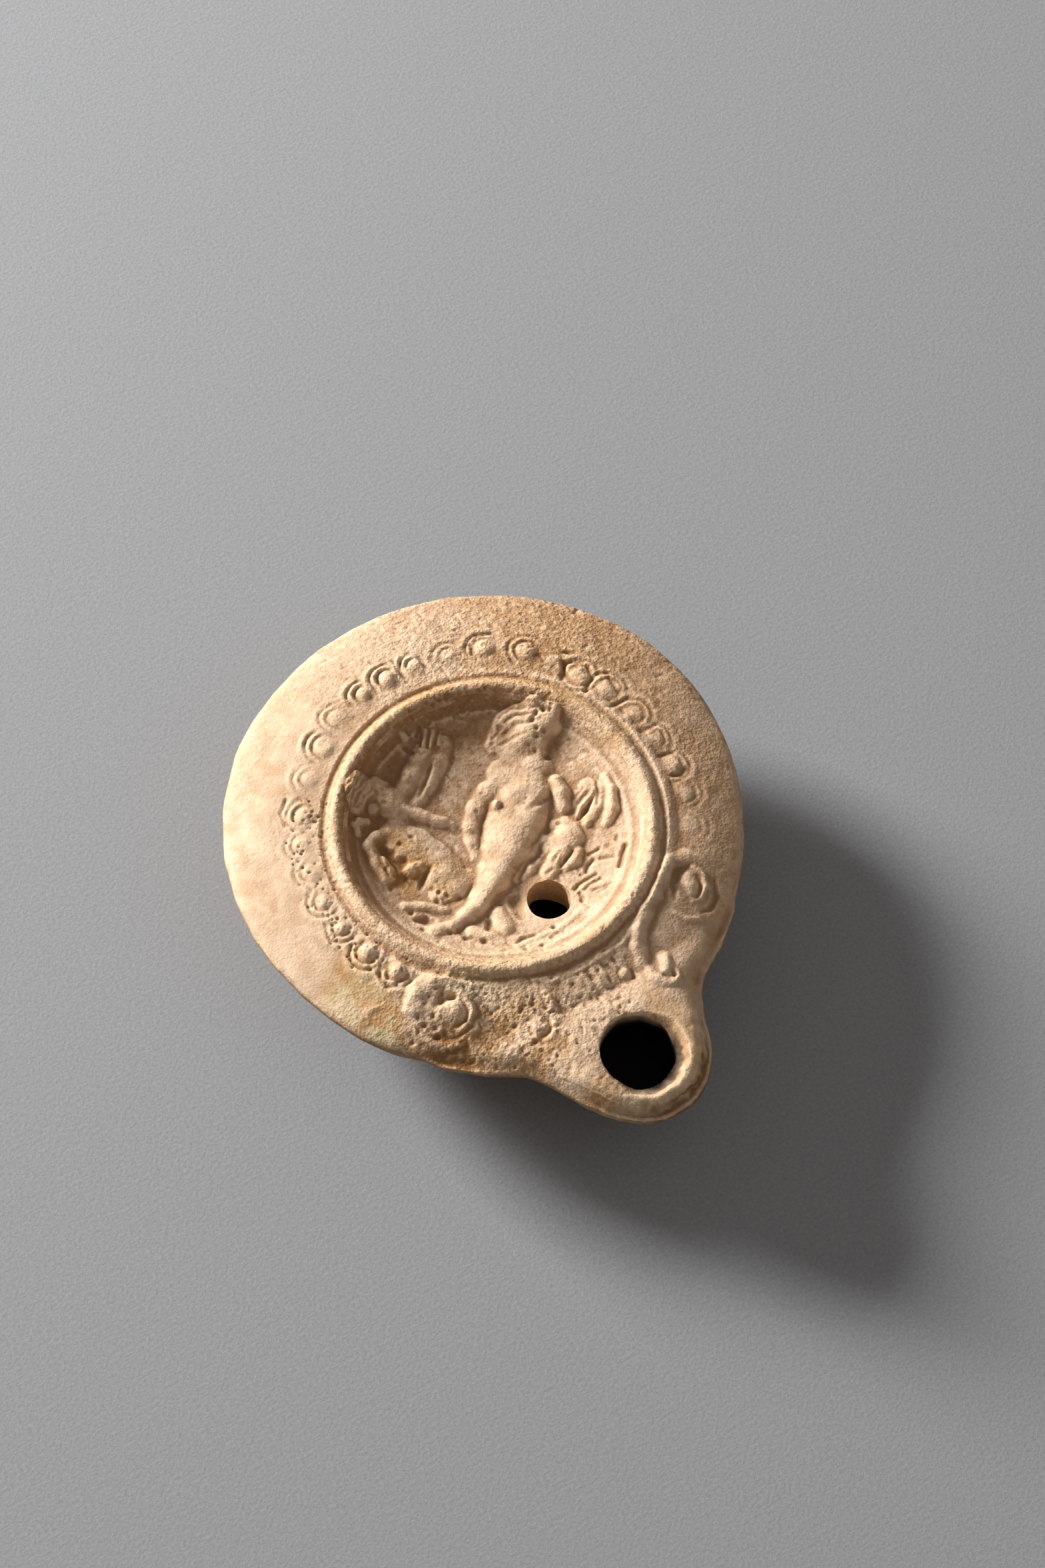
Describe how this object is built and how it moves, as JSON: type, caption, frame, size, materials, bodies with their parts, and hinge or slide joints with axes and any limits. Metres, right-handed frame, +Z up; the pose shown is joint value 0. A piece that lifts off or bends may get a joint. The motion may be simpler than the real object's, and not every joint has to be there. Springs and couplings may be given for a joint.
{
  "type": "roman oil lamp",
  "caption": "Mould-made clay oil lamp with a round closed bowl, a rimmed relief disc, a stamped shoulder, a short round spout with a wick hole, and a filling hole.",
  "frame": {"origin": "centre of the flat base, on the surface the lamp stands on", "axes": "+Z up; the spout points to -Y; +X to the right when the spout points at the viewer's feet"},
  "size_m": [0.085, 0.1031, 0.0272],
  "materials": {
    "fired_clay": "unglazed pale buff terracotta, worn, with a fine gritty grain and ochre and brown stains"
  },
  "bodies": {
    "root": {"lamp": "fired_clay"}
  },
  "joints": []
}
